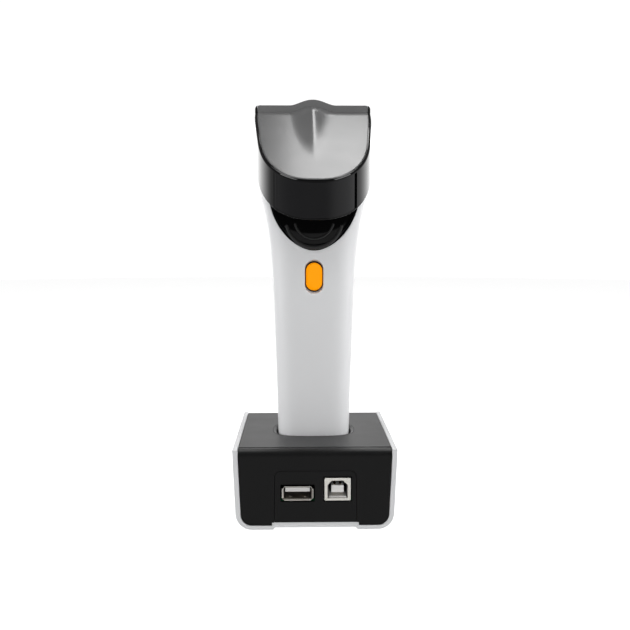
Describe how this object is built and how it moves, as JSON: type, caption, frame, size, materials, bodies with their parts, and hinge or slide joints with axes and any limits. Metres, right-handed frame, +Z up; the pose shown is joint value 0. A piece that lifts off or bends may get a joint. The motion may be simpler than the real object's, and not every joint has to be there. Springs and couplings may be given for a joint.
{
  "type": "barcode scanner in charging cradle",
  "caption": "Pistol-type wireless barcode scanner with a shield-shaped head and trigger button, standing upright in a two-tone desk cradle with USB sockets.",
  "frame": {"origin": "centre of the cradle's footprint, on the surface it stands on", "axes": "+Z up, -Y the way the scanner's nose and the cradle's sockets face, +X to the right seen from the sockets"},
  "size_m": [0.075, 0.099, 0.2043],
  "materials": {
    "white_plastic": "fine satin",
    "black_satin": "satin",
    "black_gloss": "polished",
    "grey_satin": "fine satin",
    "grey_plastic": "moulded",
    "orange_plastic": "satin",
    "window_glass": "polished dark window",
    "lens_glass": "clear",
    "socket_metal": "bright nickel",
    "gold_contacts": "gold plated",
    "dark_insulator": "moulded",
    "pale_insulator": "moulded",
    "circuit_board": "solder mask",
    "flex_film": "film",
    "battery_wrap": "shrink wrap",
    "rubber": "anti-slip",
    "screw_steel": "plated",
    "ballast_steel": "zinc primer"
  },
  "bodies": {
    "cradle": {"cradle_shell": "white_plastic", "cradle_cover": "black_satin", "port_panel": "black_satin", "dock_well": "black_satin", "usb_a_shell": "socket_metal", "usb_a_tongue": "pale_insulator", "usb_a_contacts": "gold_contacts", "usb_b_shell": "socket_metal", "usb_b_block": "pale_insulator", "usb_b_contacts": "gold_contacts", "port_board": "circuit_board", "charge_board": "circuit_board", "board_chips": "dark_insulator", "board_link": "pale_insulator", "pin_barrels": "gold_contacts", "ballast_plate": "ballast_steel", "rubber_pad": "rubber", "cradle_screws": "screw_steel"},
    "scanner": {"front_shell": "white_plastic", "rear_shell": "white_plastic", "handle_cap": "grey_plastic", "charge_pads": "gold_contacts", "shell_screws": "screw_steel", "head_shell": "black_gloss", "top_panel": "grey_satin", "rear_cap": "grey_satin", "scan_window": "window_glass", "head_screws": "screw_steel", "throat_cover": "black_gloss", "beeper": "dark_insulator", "engine_mount": "grey_plastic", "engine_body": "dark_insulator", "engine_lens": "lens_glass", "light_lenses": "lens_glass", "engine_board": "circuit_board", "engine_flex": "flex_film", "main_board": "circuit_board", "main_chips": "dark_insulator", "battery": "battery_wrap", "trigger_guide": "grey_plastic", "switch_body": "screw_steel"},
    "trigger_button": {"trigger": "orange_plastic"},
    "plunger": {"switch_plunger": "dark_insulator"},
    "pin_1": {"charge_pin_1": "gold_contacts"},
    "pin_2": {"charge_pin_2": "gold_contacts"},
    "pin_3": {"charge_pin_3": "gold_contacts"},
    "pin_4": {"charge_pin_4": "gold_contacts"}
  },
  "joints": [
    {"name": "scanner_lift", "type": "slide", "parent": "cradle", "child": "scanner", "axis": [0, 0, 1], "range_m": [0, 0.06]},
    {"name": "trigger_press", "type": "slide", "parent": "scanner", "child": "trigger_button", "axis": [0, 1, 0], "range_m": [0, 0.0008], "stiffness_N_per_m": 800, "springref_m": -0.0005},
    {"name": "plunger_press", "type": "slide", "parent": "scanner", "child": "plunger", "axis": [0, 1, 0], "range_m": [0, 0.0008]},
    {"name": "pin_1_press", "type": "slide", "parent": "cradle", "child": "pin_1", "axis": [0, 0, 1], "range_m": [-0.0008, 0], "stiffness_N_per_m": 600, "springref_m": 0.0003},
    {"name": "pin_2_press", "type": "slide", "parent": "cradle", "child": "pin_2", "axis": [0, 0, 1], "range_m": [-0.0008, 0], "stiffness_N_per_m": 600, "springref_m": 0.0003},
    {"name": "pin_3_press", "type": "slide", "parent": "cradle", "child": "pin_3", "axis": [0, 0, 1], "range_m": [-0.0008, 0], "stiffness_N_per_m": 600, "springref_m": 0.0003},
    {"name": "pin_4_press", "type": "slide", "parent": "cradle", "child": "pin_4", "axis": [0, 0, 1], "range_m": [-0.0008, 0], "stiffness_N_per_m": 600, "springref_m": 0.0003}
  ],
  "couplings": [
    {"joint": "plunger_press", "follows": "trigger_press", "ratio": 1}
  ]
}
